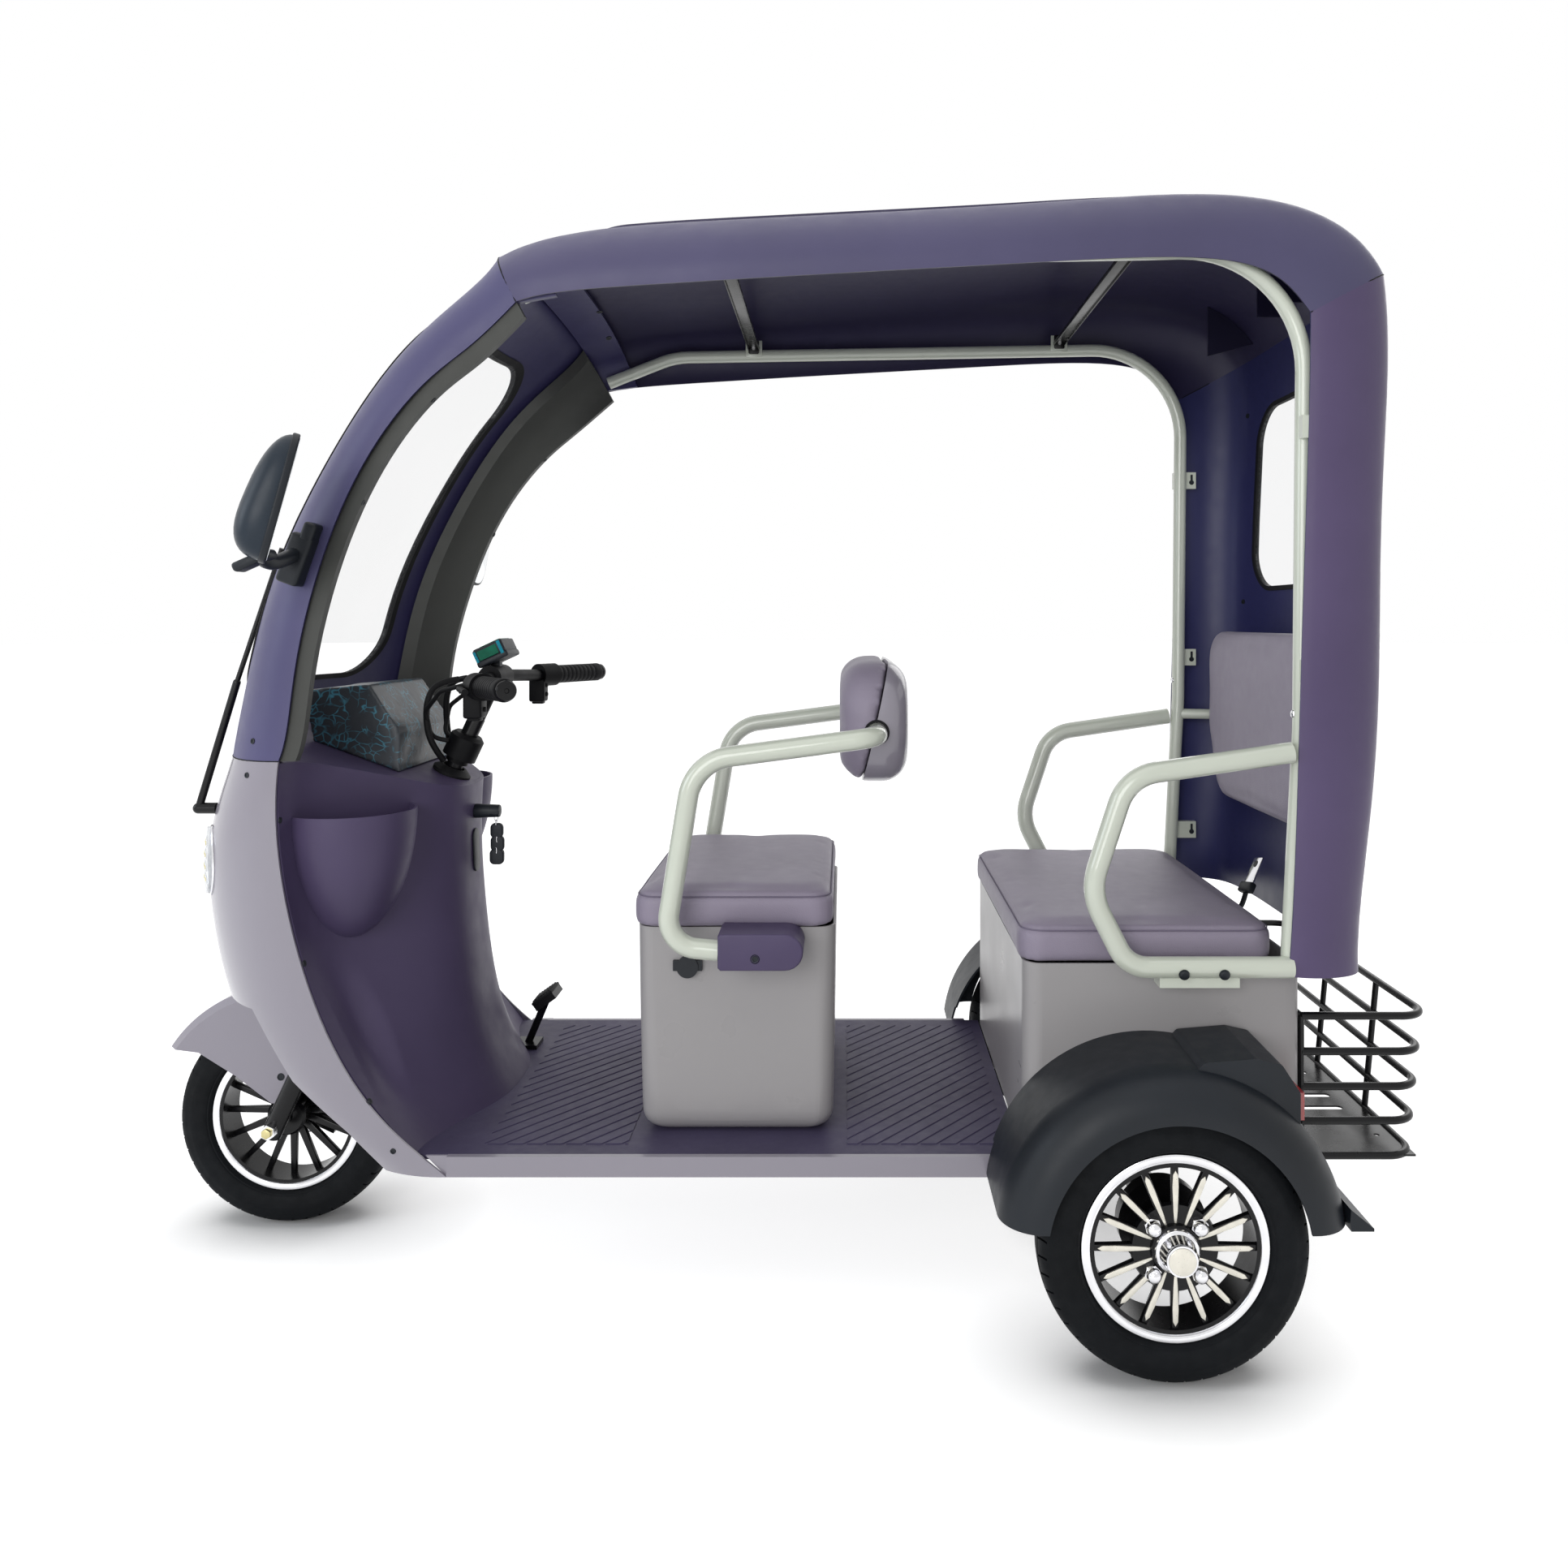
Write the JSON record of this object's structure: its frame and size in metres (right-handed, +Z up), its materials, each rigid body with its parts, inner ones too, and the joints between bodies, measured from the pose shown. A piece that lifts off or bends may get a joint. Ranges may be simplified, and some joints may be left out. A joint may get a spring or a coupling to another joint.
{
  "type": "electric tricycle with canopy",
  "caption": "Three-wheeled electric passenger tricycle with a moulded canopy, windshield, rider and passenger seats, and a rod basket behind.",
  "frame": {"origin": "on the ground under the middle of the vehicle's overall box", "axes": "+X forward, +Y to the rider's left, +Z up"},
  "size_m": [2.0874, 1.01, 1.751],
  "materials": {
    "tyre": "moulded tread",
    "black_metal": "gloss black paint",
    "bright_steel": "bright plated",
    "pale_gloss": "pale lilac-white gloss",
    "black_rubber": "matt",
    "black_plastic": "moulded grain",
    "violet": "satin violet moulding",
    "violet_dark": "darker satin violet",
    "violet_floor": "ribbed violet moulding",
    "grey_plastic": "grey grained moulding",
    "clear_pane": "clear sheet",
    "clear_lens": "clear lens",
    "red_lens": "red lens",
    "mirror_face": "polished",
    "lilac_box": "lilac-grey gloss",
    "lilac_leather": "fine-grained lilac upholstery",
    "cream_tube": "cream gloss paint"
  },
  "bodies": {
    "chassis": {"front_cowl": "pale_gloss", "windshield_surround": "violet", "pillar_trim": "grey_plastic", "roof_shell": "violet", "roof_top_panel": "violet_dark", "rear_panel": "violet", "window_gaskets": "black_rubber", "window_panes": "clear_pane", "leg_shield": "violet", "storage_pockets": "violet", "dash_top": "violet", "stem_boot": "black_rubber", "dash_console": "black_plastic", "ignition_lock": "black_plastic", "brake_pedal": "black_metal", "headlamps": "clear_lens", "mirrors": "black_plastic", "mirror_glass": "mirror_face", "wiper": "black_metal", "floor_pan": "violet_floor", "floor_sills": "pale_gloss", "chassis_frame": "black_metal", "rear_axle": "black_metal", "front_seat_box": "lilac_box", "battery_pack": "black_plastic", "front_arm_tubes": "cream_tube", "arm_pivot_covers": "violet", "front_backrest": "lilac_leather", "charging_port": "black_plastic", "rear_seat_box": "lilac_box", "canopy_frame": "cream_tube", "roof_crossbars": "black_metal", "rear_backrest": "lilac_leather", "roof_header": "violet", "rear_mudguards": "black_plastic", "tail_lamps": "red_lens", "rear_basket": "black_metal"},
    "steering": {"fork": "black_metal", "front_axle": "bright_steel", "brake_caliper": "black_metal", "mudguard_front": "pale_gloss", "handlebar": "black_metal", "grips": "black_rubber", "bar_controls": "black_plastic", "meter": "black_plastic", "control_cables": "black_rubber"},
    "front_wheel": {"tyre_front": "tyre", "rim_front": "black_metal"},
    "rear_wheel_left": {"tyre_rear_left": "tyre", "rim_rear_left": "black_metal"},
    "rear_wheel_right": {"tyre_rear_right": "tyre", "rim_rear_right": "black_metal"},
    "front_seat_lid": {"front_seat_cushion": "lilac_leather"},
    "rear_seat_lid": {"rear_seat_cushion": "lilac_leather"}
  },
  "joints": [
    {"name": "steering_turn", "type": "hinge", "parent": "chassis", "child": "steering", "pos_m": [0.846, 0, 0.19], "axis": [-0.4226, 0, 0.9063], "range_deg": [-40, 40]},
    {"name": "front_wheel_spin", "type": "hinge", "parent": "steering", "child": "front_wheel", "pos_m": [0.846, 0, 0.19], "axis": [0, 1, 0], "continuous": true},
    {"name": "rear_wheel_left_spin", "type": "hinge", "parent": "chassis", "child": "rear_wheel_left", "pos_m": [-0.595, 0.44, 0.19], "axis": [0, 1, 0], "continuous": true},
    {"name": "rear_wheel_right_spin", "type": "hinge", "parent": "chassis", "child": "rear_wheel_right", "pos_m": [-0.595, -0.44, 0.19], "axis": [0, 1, 0], "continuous": true},
    {"name": "front_seat_hinge", "type": "hinge", "parent": "chassis", "child": "front_seat_lid", "pos_m": [0.196, 0, 0.5772], "axis": [0, 1, 0], "range_deg": [0, 75]},
    {"name": "rear_seat_hinge", "type": "hinge", "parent": "chassis", "child": "rear_seat_lid", "pos_m": [-0.797, 0, 0.5382], "axis": [0, -1, 0], "range_deg": [0, 75]}
  ]
}
